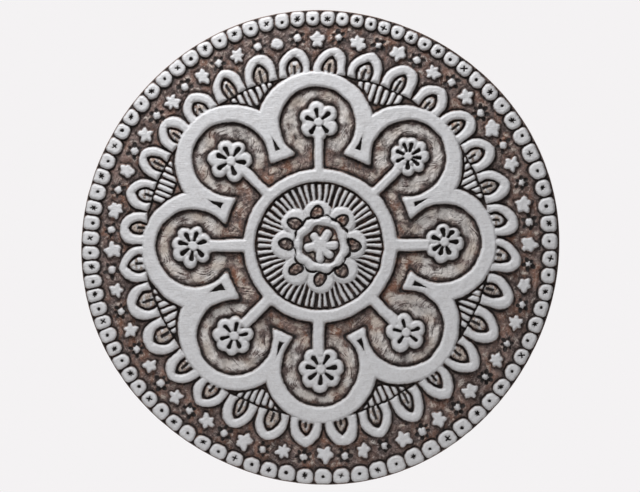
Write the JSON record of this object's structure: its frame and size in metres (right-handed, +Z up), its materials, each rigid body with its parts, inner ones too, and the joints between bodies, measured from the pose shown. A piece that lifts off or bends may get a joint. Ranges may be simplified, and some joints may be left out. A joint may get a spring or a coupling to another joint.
{
  "type": "ceramic wall tile",
  "caption": "Round ceramic wall tile carved in low relief with a mandala of rosettes, a lobed band, petals, stars and a beaded rim. It hangs flat on a wall from a pocket in its back.",
  "frame": {"origin": "middle of the flat back, where the tile meets the wall", "axes": "+Y points out of the back into the wall, the carved face looks to -Y, and +Z is up, with the nail pocket near the top"},
  "size_m": [0.3623, 0.0166, 0.3597],
  "materials": {
    "white_glaze": "satin, silvery white on the raised work, dark brown stain in the ground"
  },
  "bodies": {
    "root": {"ceramic_tile": "white_glaze"}
  },
  "joints": []
}
